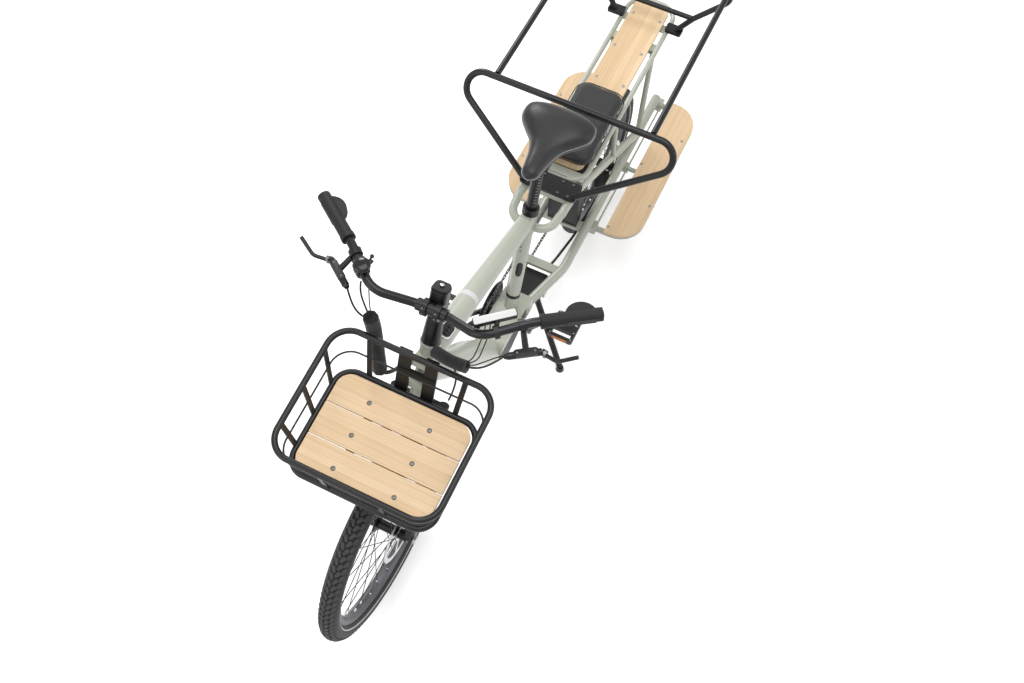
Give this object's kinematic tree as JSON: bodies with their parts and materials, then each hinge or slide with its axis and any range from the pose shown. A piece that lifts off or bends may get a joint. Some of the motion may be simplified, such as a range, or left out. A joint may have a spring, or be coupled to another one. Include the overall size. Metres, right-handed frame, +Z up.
{
  "type": "longtail cargo bicycle",
  "caption": "Pedal-assist longtail cargo bicycle with a low frame, wooden deck and footboards, passenger grab rails, a front basket and a centre stand.",
  "frame": {"origin": "on the floor under the middle of the bicycle's bounding box", "axes": "+X forward along the bicycle, +Y to the rider's left, +Z up"},
  "size_m": [2.1799, 0.7516, 1.0935],
  "materials": {
    "paint": "satin",
    "black": "satin",
    "plastic": "matte",
    "steel": "brushed",
    "alloy": "anodised",
    "tyre": "matte",
    "rubber": "matte",
    "wood": "oiled",
    "cover": "coated fabric"
  },
  "bodies": {
    "frame_body": {"basket_boards": "wood", "basket_frame": "black", "basket_posts": "black", "battery": "plastic", "chain": "steel", "cushion": "cover", "deck_board": "wood", "derailleur": "alloy", "footboard_frames": "paint", "footboards": "wood", "grab_hoop": "black", "grab_rails": "black", "main_frame": "paint", "motor": "plastic", "motor_cover": "plastic", "rack_rails": "paint", "rear_axle": "steel", "rear_caliper": "black", "rear_frame": "paint", "saddle": "cover", "seat_collar": "black", "seatpost": "black"},
    "steering_body": {"fork": "black", "front_axle": "steel", "stem_column": "black", "stem": "black", "stem_cap": "plastic", "handlebar": "black", "grips": "rubber", "brake_levers": "black", "bell": "black", "display": "plastic", "front_caliper": "black", "shifter": "plastic"},
    "front_wheel_body": {"front_tyre": "tyre", "front_wheel": "alloy", "front_disc": "steel"},
    "rear_wheel_body": {"rear_tyre": "tyre", "rear_wheel": "alloy", "rear_disc": "steel", "rear_cassette": "steel"},
    "crank_body": {"crankset": "alloy", "chain_guard": "plastic"},
    "left_pedal_body": {"pedal_left": "plastic"},
    "right_pedal_body": {"pedal_right": "plastic"},
    "stand_body": {"stand": "black"}
  },
  "joints": [
    {"name": "steering_turn", "type": "hinge", "parent": "frame_body", "child": "steering_body", "pos_m": [0.54254, 0, 0.67582], "axis": [-0.4226, 0, 0.9063], "range_deg": [-60, 60]},
    {"name": "front_wheel_spin", "type": "hinge", "parent": "steering_body", "child": "front_wheel_body", "pos_m": [0.756, 0, 0.334], "axis": [0, 1, 0], "continuous": true},
    {"name": "rear_wheel_spin", "type": "hinge", "parent": "frame_body", "child": "rear_wheel_body", "pos_m": [-0.694, 0, 0.258], "axis": [0, 1, 0], "continuous": true},
    {"name": "crank_spin", "type": "hinge", "parent": "frame_body", "child": "crank_body", "pos_m": [-0.004, 0, 0.285], "axis": [0, 1, 0], "continuous": true},
    {"name": "left_pedal_spin", "type": "hinge", "parent": "crank_body", "child": "left_pedal_body", "pos_m": [-0.11775, 0, 0.15867], "axis": [0, 1, 0], "continuous": true},
    {"name": "right_pedal_spin", "type": "hinge", "parent": "crank_body", "child": "right_pedal_body", "pos_m": [0.10975, 0, 0.41134], "axis": [0, 1, 0], "continuous": true},
    {"name": "stand_fold", "type": "hinge", "parent": "frame_body", "child": "stand_body", "pos_m": [-0.164, 0, 0.18], "axis": [0, 1, 0], "range_deg": [0, 100]}
  ]
}
